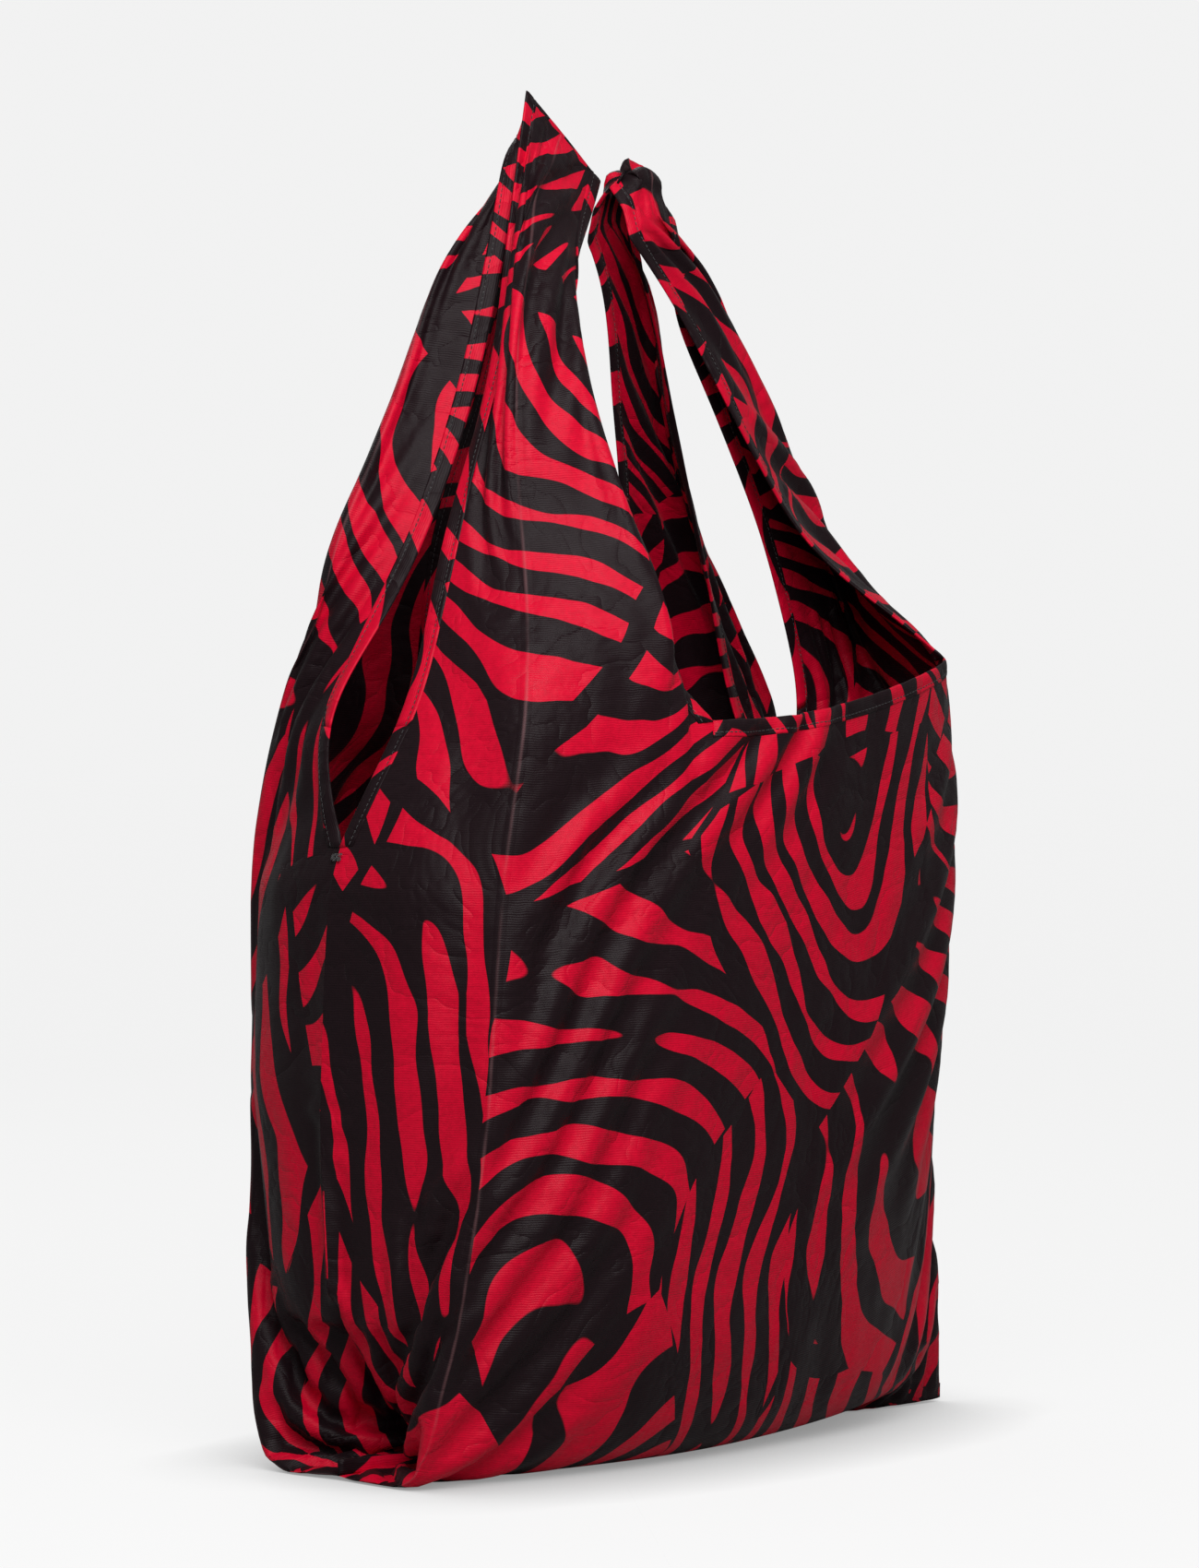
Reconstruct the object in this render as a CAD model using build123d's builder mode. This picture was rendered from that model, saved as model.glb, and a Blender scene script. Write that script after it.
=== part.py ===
"""Foldable tote bag of the vest kind, standing open with both handles held up.

Millimetres. +Z is up, X runs left to right along the front face, and the front faces -Y.
The origin is at the middle of the base, on the surface that the bag stands on.

Two mirror-image cloth panels, front and back, meet at the two side seams and at the bottom
seam. Each panel runs up into two straps, and the straps of the two panels are sewn together
at the top of each handle. The cloth is drawn FABRIC thick, a little more than it really is.
"""

import os

from build123d import *

os.makedirs("parts", exist_ok=True)

# Cloth and sewing
FABRIC = 0.8
HEM_WIDTH = 8.0
HEM_THICKNESS = 0.8
SEAM_ALLOWANCE = 8.0
SEAM_THICKNESS = 1.6
TACK_THICKNESS = 0.8
TACK_LENGTH = 4.8

# Body of the bag when it is filled
BODY_WIDTH = 388.0
BODY_DEPTH = 212.0
MOUTH_HEIGHT = 350.0
MOUTH_HALF_WIDTH = 85.0
ARMHOLE_BOTTOM = 300.0
ARMHOLE_HALF_WIDTH = 24.0

# Handles
LEFT_TOP_HEIGHT = 648.0
RIGHT_TOP_HEIGHT = 616.0
BODY_CLEARANCE = 0.5
TOP_SEAM_HEIGHT = 8.0
TOP_SEAM_WIDTH = 36.0
TOP_SEAM_OFFSET = 32.0

# A strap's thickness and its hems lie in this direction, towards the handle's middle
STRAP_LEAN = Vector(0.45, 0.9, 0)
STRIP_BULGE = 0.1

# Pocket that the bag folds into, and the care label
POCKET_WIDTH = 120.0
POCKET_HEIGHT = 130.0
POCKET_INSET = 2.0
POCKET_CORNER = 10.0
LABEL_WIDTH = 30.0
LABEL_LENGTH = 30.0
LABEL_HEIGHT = 120.0

# Height, width, depth and corner radius of the body's sections, from the floor to the mouth
BODY_SECTIONS = [
    (0.0, BODY_WIDTH - 8, 100.0, 20.0),
    (40.0, BODY_WIDTH - 2, 150.0, 40.0),
    (140.0, BODY_WIDTH, BODY_DEPTH - 4, 64.0),
    (250.0, BODY_WIDTH - 2, BODY_DEPTH, 70.0),
    (MOUTH_HEIGHT, BODY_WIDTH - 16, 184.0, 66.0),
]


def body_form(inset, floor):
    """The body as a closed loft, set in from its outside by inset, with its underside at floor."""
    with BuildPart() as form:
        for height, width, depth, corner in BODY_SECTIONS:
            with BuildSketch(Plane.XY.offset(max(height, floor))):
                RectangleRounded(width - 2 * inset, depth - 2 * inset, corner - inset)
        loft()
    return form.part


def armhole_cutter(margin):
    """A U-shaped bar through both sides of the body. It cuts the lower ends of the armholes."""
    radius = ARMHOLE_HALF_WIDTH + margin
    with BuildPart() as cutter:
        with BuildSketch(Plane.YZ.offset(-BODY_WIDTH)):
            with Locations((0, ARMHOLE_BOTTOM + ARMHOLE_HALF_WIDTH)):
                Circle(radius)
            with Locations((0, ARMHOLE_BOTTOM + ARMHOLE_HALF_WIDTH)):
                Rectangle(2 * radius, 2 * BODY_DEPTH, align=(Align.CENTER, Align.MIN))
        extrude(amount=2 * BODY_WIDTH)
    return cutter.part


outer_form = body_form(0, 0)
inner_form = body_form(FABRIC, FABRIC)
hem_form = body_form(FABRIC + HEM_THICKNESS, FABRIC + HEM_THICKNESS)
tack_inset = FABRIC + HEM_THICKNESS + TACK_THICKNESS
tack_form = body_form(tack_inset, tack_inset)
seam_form = body_form(FABRIC + SEAM_ALLOWANCE, FABRIC + SEAM_ALLOWANCE)
armhole = armhole_cutter(0)
armhole_with_hem = armhole_cutter(HEM_WIDTH)


def finish(builder, label):
    """Labels a finished piece and writes it."""
    builder.part.label = label
    export_step(builder.part, f"parts/{label}.step")


# Panels: the front panel is the shell's -Y half, the back panel its +Y half
for label, side in (("front_panel", -1), ("back_panel", 1)):
    with BuildPart() as panel:
        add(outer_form)
        add(inner_form, mode=Mode.SUBTRACT)
        add(armhole, mode=Mode.SUBTRACT)
        with Locations((0, side * BODY_DEPTH / 2, MOUTH_HEIGHT / 2)):
            Box(2 * BODY_WIDTH, BODY_DEPTH, 2 * MOUTH_HEIGHT, mode=Mode.INTERSECT)
    finish(panel, label)

# Side seams: the two panels' edges stand inwards as a fin, from the floor to the armhole
for label, side in (("left_side_seam", -1), ("right_side_seam", 1)):
    with BuildPart() as side_seam:
        add(inner_form)
        add(seam_form, mode=Mode.SUBTRACT)
        top = ARMHOLE_BOTTOM - 2 * HEM_WIDTH
        bottom = FABRIC + SEAM_ALLOWANCE
        with Locations((side * BODY_WIDTH / 2, 0, (top + bottom) / 2)):
            Box(BODY_WIDTH / 2, SEAM_THICKNESS, top - bottom, mode=Mode.INTERSECT)
    finish(side_seam, label)

# Bottom seam: the same fin, along the middle of the base
BASE_WIDTH = BODY_SECTIONS[0][1]
with BuildPart() as bottom_seam:
    with Locations((0, 0, FABRIC)):
        Box(
            BASE_WIDTH - 4 * SEAM_ALLOWANCE,
            SEAM_THICKNESS,
            SEAM_ALLOWANCE,
            align=(Align.CENTER, Align.CENTER, Align.MIN),
        )
finish(bottom_seam, "bottom_seam")

# Mouth hems: a band folded to the inside along each panel's top edge
for label, side in (("front_mouth_hem", -1), ("back_mouth_hem", 1)):
    with BuildPart() as mouth_hem:
        add(inner_form)
        add(hem_form, mode=Mode.SUBTRACT)
        with Locations((0, side * BODY_DEPTH / 2, MOUTH_HEIGHT - HEM_WIDTH / 2)):
            Box(2 * MOUTH_HALF_WIDTH, BODY_DEPTH, HEM_WIDTH, mode=Mode.INTERSECT)
    finish(mouth_hem, label)

# Armhole hems: the U-shaped band below the straps, and a bar tack where it meets the side seam
for name, side in (("left", -1), ("right", 1)):
    with BuildPart() as armhole_hem:
        add(inner_form)
        add(hem_form, mode=Mode.SUBTRACT)
        add(armhole_with_hem, mode=Mode.INTERSECT)
        add(armhole, mode=Mode.SUBTRACT)
        with Locations((side * BODY_WIDTH / 2, 0, MOUTH_HEIGHT / 2)):
            Box(BODY_WIDTH / 2, BODY_DEPTH, 2 * MOUTH_HEIGHT, mode=Mode.INTERSECT)
    finish(armhole_hem, f"{name}_armhole_hem")

    with BuildPart() as bar_tack:
        add(hem_form)
        add(tack_form, mode=Mode.SUBTRACT)
        with Locations((side * BODY_WIDTH / 2, 0, ARMHOLE_BOTTOM - HEM_WIDTH)):
            Box(BODY_WIDTH / 2, TACK_LENGTH, HEM_WIDTH, mode=Mode.INTERSECT)
    finish(bar_tack, f"{name}_armhole_bar_tack")

# Stow pocket: two layers of cloth that hang inside the back panel from its mouth hem
back_inside = BODY_SECTIONS[-1][2] / 2 - FABRIC - HEM_THICKNESS
pocket_y = back_inside - POCKET_INSET
pocket_top = MOUTH_HEIGHT - POCKET_INSET
with BuildPart() as stow_pocket:
    with BuildSketch(Plane.XZ.offset(-pocket_y)):
        with Locations((0, pocket_top)):
            Rectangle(POCKET_WIDTH, POCKET_HEIGHT, align=(Align.CENTER, Align.MAX))
    extrude(amount=2 * FABRIC)
    bottom_corners = stow_pocket.edges().filter_by(Axis.Y).group_by(Axis.Z)[0]
    fillet(bottom_corners, POCKET_CORNER)
finish(stow_pocket, "stow_pocket")

with BuildPart() as stow_pocket_hem:
    with BuildSketch(Plane.XZ.offset(2 * FABRIC - pocket_y)):
        with Locations((0, pocket_top)):
            Rectangle(POCKET_WIDTH, HEM_WIDTH, align=(Align.CENTER, Align.MAX))
    extrude(amount=HEM_THICKNESS)
finish(stow_pocket_hem, "stow_pocket_hem")

# Care label: a short blank ribbon caught in the left side seam
with BuildPart() as care_label:
    label_edge = FABRIC + SEAM_ALLOWANCE - BODY_WIDTH / 2
    with Locations((label_edge, SEAM_THICKNESS / 2, LABEL_HEIGHT)):
        Box(
            LABEL_LENGTH,
            FABRIC / 2,
            LABEL_WIDTH,
            align=(Align.MIN, Align.MIN, Align.CENTER),
        )
finish(care_label, "care_label")


# Straps. Each section is a thin curved band from the neck edge, over the middle, to the
# armhole edge. The stations are written for the left handle's front strap as x, y pairs.
def strap_stations(top_height):
    """Height, neck point, middle point and armhole point of each section of a strap."""
    root_height = MOUTH_HEIGHT + BODY_CLEARANCE
    rise = top_height - root_height
    return [
        (root_height, (-MOUTH_HALF_WIDTH, -91.5), (-168.0, -74.0), (-185.6, -24.0)),
        (root_height + 0.22 * rise, (-78.0, -80.0), (-142.0, -62.0), (-160.0, -26.0)),
        (root_height + 0.52 * rise, (-54.0, -50.0), (-96.0, -40.0), (-114.0, -22.0)),
        (root_height + 0.80 * rise, (-29.0, -22.0), (-55.0, -16.0), (-74.0, -10.0)),
        (top_height, (-12.0, -3.4), (-TOP_SEAM_OFFSET, -4.0), (-52.0, -3.2)),
    ]


def strap_band(neck, middle, arm, inset, thickness):
    """A thin curved band between three points, moved in by inset towards the handle's middle."""
    first, second, third = (Vector(*p) + STRAP_LEAN * inset for p in (neck, middle, arm))
    depth = STRAP_LEAN * thickness
    with BuildSketch(mode=Mode.PRIVATE) as band:
        with BuildLine():
            ThreePointArc(first, second, third)
            Line(third, third + depth)
            ThreePointArc(third + depth, second + depth, first + depth)
            Line(first + depth, first)
        make_face()
    return band.sketch


def strap_form(top_height, part_of_band, inset, thickness):
    """A strap, or a strip along it, lofted through its stations."""
    with BuildPart() as form:
        for height, neck, middle, arm in strap_stations(top_height):
            ends = part_of_band(Vector(*neck), Vector(*middle), Vector(*arm))
            with BuildSketch(Plane.XY.offset(height)):
                add(strap_band(*ends, inset, thickness))
        loft(ruled=True)
    return form.part


def whole_band(neck, middle, arm):
    return neck, middle, arm


def neck_strip(neck, middle, arm):
    end = neck + (middle - neck).normalized() * HEM_WIDTH
    bulge = (middle - neck).normalized().rotate(Axis.Z, 90) * STRIP_BULGE
    return neck, (neck + end) / 2 - bulge, end


def armhole_strip(neck, middle, arm):
    end = arm + (middle - arm).normalized() * HEM_WIDTH
    bulge = (arm - middle).normalized().rotate(Axis.Z, 90) * STRIP_BULGE
    return end, (arm + end) / 2 - bulge, arm


STRAP_PIECES = [
    ("strap", whole_band, 0, FABRIC),
    ("neck_hem", neck_strip, FABRIC, HEM_THICKNESS),
    ("armhole_edge_hem", armhole_strip, FABRIC, HEM_THICKNESS),
]

for handle, top_height in (("left", LEFT_TOP_HEIGHT), ("right", RIGHT_TOP_HEIGHT)):
    for piece, part_of_band, inset, thickness in STRAP_PIECES:
        strap = strap_form(top_height, part_of_band, inset, thickness)
        if handle == "right":
            strap = mirror(strap, about=Plane.YZ)
        for panel_side in ("front", "back"):
            with BuildPart() as strap_piece:
                add(strap if panel_side == "front" else mirror(strap, about=Plane.XZ))
            finish(strap_piece, f"{handle}_{panel_side}_{piece}")

    # Top seam: the short fin where the two straps of a handle are sewn together
    seam_centre = -TOP_SEAM_OFFSET if handle == "left" else TOP_SEAM_OFFSET
    with BuildPart() as top_seam:
        with Locations((seam_centre, 0, top_height - TOP_SEAM_HEIGHT)):
            Box(
                TOP_SEAM_WIDTH,
                2 * SEAM_THICKNESS,
                TOP_SEAM_HEIGHT,
                align=(Align.CENTER, Align.CENTER, Align.MIN),
            )
    finish(top_seam, f"{handle}_handle_top_seam")
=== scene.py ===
"""The foldable tote bag's looks: cloth cut from its flat pattern, hung and filled, then sewn.

Metres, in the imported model's frame: +Z up, X along the front face, the front towards -Y.
"""

import math

import bpy
import numpy as np
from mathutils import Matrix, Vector


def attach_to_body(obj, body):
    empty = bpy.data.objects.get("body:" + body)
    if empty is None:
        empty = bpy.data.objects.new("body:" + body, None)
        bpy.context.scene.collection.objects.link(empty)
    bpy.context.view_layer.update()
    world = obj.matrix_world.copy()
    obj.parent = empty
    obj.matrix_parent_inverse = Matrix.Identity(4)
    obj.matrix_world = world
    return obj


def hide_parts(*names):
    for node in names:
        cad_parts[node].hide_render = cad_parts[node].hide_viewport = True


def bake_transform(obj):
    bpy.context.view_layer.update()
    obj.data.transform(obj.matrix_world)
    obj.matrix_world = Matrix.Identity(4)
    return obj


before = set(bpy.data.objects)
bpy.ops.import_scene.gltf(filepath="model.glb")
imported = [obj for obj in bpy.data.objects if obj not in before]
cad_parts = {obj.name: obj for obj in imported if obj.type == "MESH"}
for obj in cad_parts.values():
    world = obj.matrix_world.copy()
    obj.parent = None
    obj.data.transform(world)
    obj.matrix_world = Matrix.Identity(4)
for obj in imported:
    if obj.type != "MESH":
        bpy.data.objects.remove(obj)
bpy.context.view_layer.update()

MM = 1000
TINY = 1e-12
SMALL = 1e-9

# ---- The flat pattern of one panel. s runs across it from the middle, v runs up it from the
# bottom seam. A panel is cut in one with its half of each gusset and its two straps.
HALF_FACE = 0.200
SIDE_EDGE = 0.288
ARMHOLE_V = 0.338
MOUTH_V = 0.392
TOP_V = 0.705
MOUTH_HALF = 0.100
NECK_TOP = 0.160
NECK_CURVE = 1.2
ARM_TOP = 0.232
ARM_CURVE = 3
CELL = 0.0070


def neck_edge(v):
    """Distance from the middle to the neck edge of a strap."""
    t = np.clip((v - MOUTH_V) / (TOP_V - MOUTH_V), 0, 1)
    return MOUTH_HALF + (NECK_TOP - MOUTH_HALF) * (1 - (1 - t) ** NECK_CURVE)


def arm_edge(v):
    """Distance from the middle to the armhole edge of a strap."""
    t = np.clip((v - ARMHOLE_V) / (TOP_V - ARMHOLE_V), 0, 1)
    return ARM_TOP + (SIDE_EDGE - ARM_TOP) * (1 - t) ** ARM_CURVE


def steps(length):
    """Number of grid cells in a length, at least two."""
    return max(2, round(length / CELL))


MOUTH_COLS = 2 * steps(MOUTH_HALF)
FACE_COLS = steps(HALF_FACE - MOUTH_HALF)
GUSSET_COLS = steps(SIDE_EDGE - HALF_FACE)
COLS = MOUTH_COLS + 2 * (FACE_COLS + GUSSET_COLS)
NECK_COL = GUSSET_COLS + FACE_COLS
LOW_ROWS = steps(ARMHOLE_V)
ROOT_ROWS = steps(MOUTH_V - ARMHOLE_V)
STRAP_ROWS = steps(TOP_V - MOUTH_V)
ROOT_ROW = LOW_ROWS + ROOT_ROWS
ROWS = ROOT_ROW + STRAP_ROWS
row_v = np.concatenate([
    np.linspace(0, ARMHOLE_V, LOW_ROWS + 1),
    np.linspace(ARMHOLE_V, MOUTH_V, ROOT_ROWS + 1)[1:],
    np.linspace(MOUTH_V, TOP_V, STRAP_ROWS + 1)[1:],
])


def pattern_s(row):
    """Across positions of the columns of a row."""
    v = row_v[row]
    neck, arm = neck_edge(v), arm_edge(v)
    gusset = np.linspace(arm, HALF_FACE, GUSSET_COLS + 1)
    face = np.linspace(HALF_FACE, neck, FACE_COLS + 1)[1:]
    left = -np.concatenate([gusset, face])
    middle = np.linspace(-neck, neck, MOUTH_COLS + 1)[1:-1]
    return np.concatenate([left, middle, -left[::-1]])


pattern = np.zeros((ROWS + 1, COLS + 1, 2))
for r in range(ROWS + 1):
    pattern[r, :, 0] = pattern_s(r)
    pattern[r, :, 1] = row_v[r]

# Numbering: front vertices, then back ones, which share the front's along the seams
exists = np.ones((ROWS + 1, COLS + 1), bool)
exists[ROOT_ROW + 1:, NECK_COL + 1:COLS - NECK_COL] = False
index = -np.ones((2, ROWS + 1, COLS + 1), int)
index[0][exists] = np.arange(exists.sum())
shared = np.zeros_like(exists)
shared[0, :] = True
shared[:LOW_ROWS + 1, [0, -1]] = True
shared[-1, :] = True
shared &= exists
own = exists & ~shared
index[1][shared] = index[0][shared]
index[1][own] = exists.sum() + np.arange(own.sum())
COUNT = int(index.max()) + 1
vertex_s = np.zeros(COUNT)
vertex_v = np.zeros(COUNT)
for side in (1, 0):
    vertex_s[index[side][exists]] = pattern[..., 0][exists]
    vertex_v[index[side][exists]] = pattern[..., 1][exists]

# ---- How the cloth is first laid out in space, in millimetres. Each level is a height v on the
# pattern. A line holds one place for each level, and the lines are, from left to right: side
# seam, crease, mouth corner, fold beside it, middle, mouth corner, crease, side seam. At the top
# level, above the armhole's bottom, the side seam parts into the front's and the back's edges.
LEVELS = np.array([0, 45, 90, 150, 250, 338, 392]) / MM
ACROSS = np.array([-288, -200, -100, -60, 0, 100, 200, 288]) / MM
LEFT_SEAM = [(-96, -8, 5), (-128, -4, 20), (-160, 0, 48), (-180, 3, 102), (-189, 7, 198), (-176, 8, 288)]
RIGHT_SEAM = [(118, -40, 5), (114, -24, 44), (112, -12, 84), (114, -2, 136), (126, 2, 216), (147, 4, 292)]
LEFT_ARM = [(-150, -12, 346), (-172, 26, 345)]
RIGHT_ARM = [(150, -11, 353), (150, 38, 351)]
FRONT = [
    [(-183, 0, 2), (-186, -45, 4), (-184, -62, 44), (-178, -74, 102),
     (-168, -84, 200), (-158, -82, 288), (-147, -81, 341)],
    [(-90, -26, 2), (-91, -76, 5), (-90, -98, 46), (-88, -108, 104),
     (-82, -111, 203), (-70, -112, 291), (-43, -112, 347)],
    [(-50, -33, 2), (-52, -83, 5), (-51, -103, 47), (-49, -110, 104),
     (-42, -114, 203), (-28, -116, 291), (-4, -116, 350)],
    [(10, -38, 2), (12, -87, 6), (12, -105, 47), (15, -113, 105),
     (20, -117, 205), (30, -117, 294), (48, -114, 356)],
    [(116, -46, 2), (118, -86, 19), (117, -96, 63), (118, -104, 131),
     (130, -109, 230), (145, -106, 322), (151, -99, 380)],
    [(204, -54, 2), (201, -54, 47), (198, -52, 92), (199, -50, 150),
     (207, -47, 250), (204, -36, 338), (194, -13, 380)],
]
BACK = [
    [(-183, 0, 2), (-184, 42, 6), (-175, 59, 44), (-161, 73, 102),
     (-149, 84, 200), (-151, 82, 288), (-150, 72, 341)],
    [(-90, -26, 2), (-91, 26, 5), (-91, 80, 38), (-91, 104, 97),
     (-88, 109, 196), (-74, 98, 286), (-52, 68, 340)],
    [(-50, -33, 2), (-52, 20, 5), (-52, 76, 36), (-52, 103, 95),
     (-50, 110, 194), (-40, 107, 283), (-20, 90, 338)],
    [(10, -38, 2), (11, 14, 5), (11, 70, 34), (12, 104, 94),
     (14, 112, 193), (16, 111, 282), (20, 106, 338)],
    [(116, -46, 2), (116, 1, 9), (114, 58, 43), (114, 92, 98),
     (118, 100, 196), (116, 98, 285), (107, 92, 340)],
    [(204, -54, 2), (201, -14, 22), (199, 12, 60), (196, 30, 116),
     (194, 40, 215), (190, 42, 302), (182, 36, 356)],
]


def smooth_through(knots, values, at):
    """A smooth curve (Catmull-Rom) through values at knots, evaluated at many points."""
    values = np.asarray(values, float)
    slope = np.zeros_like(values)
    gap = np.diff(knots)
    secant = (values[1:] - values[:-1]) / gap[:, None]
    slope[0], slope[-1] = secant[0], secant[-1]
    weight = (gap[1:] / (gap[1:] + gap[:-1]))[:, None]
    slope[1:-1] = secant[:-1] * weight + secant[1:] * (1 - weight)
    k = np.clip(np.searchsorted(knots, at, side="right") - 1, 0, len(knots) - 2)
    h = gap[k][:, None]
    t = ((at - knots[k]) / gap[k])[:, None]
    return (
        values[k] * (2 * t**3 - 3 * t**2 + 1)
        + h * slope[k] * (t**3 - 2 * t**2 + t)
        + values[k + 1] * (3 * t**2 - 2 * t**3)
        + h * slope[k + 1] * (t**3 - t**2)
    )


def body_start(side):
    """First positions of a panel's rows up to the mouth. Gussets start flat across."""
    net = [LEFT_SEAM + [LEFT_ARM[side]]] + (FRONT, BACK)[side] + [RIGHT_SEAM + [RIGHT_ARM[side]]]
    rows = ROOT_ROW + 1
    lines = [smooth_through(LEVELS, np.array(line) / MM, row_v[:rows]) for line in net]
    inner = slice(GUSSET_COLS, COLS - GUSSET_COLS + 1)
    gussets = (
        (slice(0, GUSSET_COLS + 1), 0, 1),
        (slice(COLS - GUSSET_COLS, COLS + 1), -2, -1),
    )
    grid = np.zeros((rows, COLS + 1, 3))
    for r in range(rows):
        knots = ACROSS.copy()
        if row_v[r] > ARMHOLE_V:
            knots[[0, -1]] = -arm_edge(row_v[r]), arm_edge(row_v[r])
        points = np.array([line[r] for line in lines])
        s = pattern[r, :, 0]
        grid[r, inner] = smooth_through(knots[1:-1], points[1:-1], s[inner])
        for cols, a, b in gussets:
            t = ((s[cols] - knots[a]) / (knots[b] - knots[a]))[:, None]
            grid[r, cols] = points[a] * (1 - t) + points[b] * t
    return grid


# The straps, in millimetres: for a few heights on the pattern, the places of the armhole edge,
# the crease, a line 20 mm inside the neck edge, and the neck edge.
NECK_FOLD = 0.020
STRAPS = {
    ("left", 0): {
        0.430: [(-138, -10, 384), (-131, -64, 380), (-60, -100, 385), (-70, -84, 384)],
        0.470: [(-126, -9, 421), (-113, -46, 418), (-66, -83, 424), (-79, -68, 422)],
        0.560: [(-92, -12, 505), (-98, -33, 503), (-66, -45, 506), (-78, -32, 505)],
        0.640: [(-66, -3, 584), (-66, -14, 582), (-40, -14, 579), (-25, -10, 575)],
    },
    ("left", 1): {
        0.470: [(-124, 6, 420), (-150, 38, 416), (-98, 42, 414), (-76, 36, 414)],
        0.560: [(-84, 0, 506), (-108, 30, 500), (-72, 26, 498), (-53, 22, 497)],
        0.640: [(-64, 2, 583), (-82, 19, 575), (-58, 14, 570), (-40, 12, 568)],
    },
    ("right", 0): {
        0.470: [(120, -8, 432), (158, -10, 446), (130, -34, 436), (114, -46, 428)],
        0.560: [(82, -6, 499), (108, -9, 514), (82, -24, 505), (65, -30, 497)],
        0.640: [(50, -2, 562), (62, -8, 580), (44, -12, 573), (30, -12, 567)],
    },
    ("right", 1): {
        0.470: [(119, 30, 420), (140, 50, 428), (90, 50, 426), (70, 46, 422)],
        0.560: [(80, 20, 497), (88, 34, 508), (58, 30, 503), (43, 28, 498)],
        0.640: [(50, 12, 564), (52, 20, 575), (32, 17, 569), (20, 15, 565)],
    },
}

# Where the handles are held: distance below the top seam, then places in millimetres from the
# armhole edge to the neck edge, for the front strap. The right handle's top is rolled over.
LEFT_HELD = [(0.0, [(-53, 0, 645), (-27, 0, 627), (0, 0, 607)])]
RIGHT_HELD = [
    (0.040, [(45, -13, 580), (26, -14, 593), (7, -13, 581)]),
    (0.026, [(45, -9, 592), (26, -10, 606), (7, -9, 595)]),
    (0.000, [(42, 0, 602), (25, 0, 614), (8, 0, 605)]),
]
HELD_KNOTS = np.array([0, 0.5, 1])
fixed = np.zeros(COUNT, bool)


def strap_start(side, handle, held, root_row):
    """Columns of a strap and its first places. Marks the rows where it is held."""
    cols = np.arange(0, NECK_COL + 1)
    if handle == "right":
        cols = COLS - cols
    share = np.linspace(0, 1, len(cols))
    mirror = np.array([1, (1, -1)[side], 1])
    stops, lines = [MOUTH_V], [root_row[cols]]
    for level, places in STRAPS[handle, side].items():
        row = int(np.argmin(abs(row_v - level)))
        along = -abs(pattern[row, cols, 0])
        neck = neck_edge(row_v[row])
        knots = np.array([-arm_edge(row_v[row]), -HALF_FACE, -neck - NECK_FOLD, -neck])
        stops.append(level)
        lines.append(smooth_through(knots, np.array(places) / MM, along))
    for below, line in held:
        stops.append(TOP_V - below)
        lines.append(smooth_through(HELD_KNOTS, np.array(line) / MM, share) * mirror)
        row = int(np.argmin(abs(row_v - stops[-1])))
        fixed[index[side][row, cols]] = True
    flat_lines = np.array(lines).reshape(len(lines), -1)
    path = smooth_through(np.array(stops), flat_lines, row_v[ROOT_ROW + 1:])
    return cols, path.reshape(STRAP_ROWS, len(cols), 3)


start = np.zeros((COUNT, 3))
for side in (1, 0):
    grid = body_start(side)
    start[index[side][:ROOT_ROW + 1]] = grid
    for handle, held in (("left", LEFT_HELD), ("right", RIGHT_HELD)):
        cols, places = strap_start(side, handle, held, grid[-1])
        start[index[side][ROOT_ROW + 1:][:, cols]] = places

# ---- Cloth: distance constraints with the flat pattern's lengths, solved batch by batch
YARN, BIAS, BEND, OVER_SEAM = range(4)
STIFFNESS = np.array([1.0, 0.55, 0.06, 0.06])
NEIGHBOURS = (
    (0, 1, YARN), (1, 0, YARN), (1, 1, BIAS), (1, -1, BIAS), (0, 2, BEND), (2, 0, BEND),
)


def collect_pairs():
    """Pairs of vertices with their flat distance and their kind."""
    found = {}
    for side in (0, 1):
        for dr, dc, kind in NEIGHBOURS:
            for r in range(ROWS + 1 - dr):
                c = np.arange(max(0, -dc), COLS + 1 - max(0, dc))
                a, b = index[side][r, c], index[side][r + dr, c + dc]
                ok = (a >= 0) & (b >= 0) & (a != b)
                if dc > 1:
                    ok &= index[side][r, c + dc // 2] >= 0
                if r >= ROOT_ROW and dc:
                    in_left = np.maximum(c, c + dc) <= NECK_COL
                    in_right = np.minimum(c, c + dc) >= COLS - NECK_COL
                    ok &= in_left | in_right | (r == ROOT_ROW) & (dr == 0)
                flat = np.linalg.norm(pattern[r, c] - pattern[r + dr, c + dc], axis=1)
                for i, j, length in zip(a[ok], b[ok], flat[ok]):
                    found.setdefault((min(i, j), max(i, j)), (length, kind))
    # cloth bends across a seam less easily than along it: join the two panels' next columns
    for r in range(1, LOW_ROWS + 1):
        for edge, step in ((0, 1), (COLS, -1)):
            i, j = index[0][r, edge + step], index[1][r, edge + step]
            length = 2 * abs(pattern[r, edge, 0] - pattern[r, edge + step, 0])
            found.setdefault((min(i, j), max(i, j)), (length, OVER_SEAM))
    pairs = np.array(list(found))
    values = np.array(list(found.values()))
    return pairs, values[:, 0], values[:, 1].astype(int)


def colour_batches(pairs):
    """Batches of constraints in which no vertex appears twice."""
    colour = np.zeros(len(pairs), int)
    busy = np.zeros(COUNT, np.int64)
    for k, (i, j) in enumerate(pairs):
        free = ~(busy[i] | busy[j])
        c = int(free & -free).bit_length() - 1
        colour[k] = c
        busy[i] |= 1 << c
        busy[j] |= 1 << c
    return [np.nonzero(colour == c)[0] for c in range(colour.max() + 1)]


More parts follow.
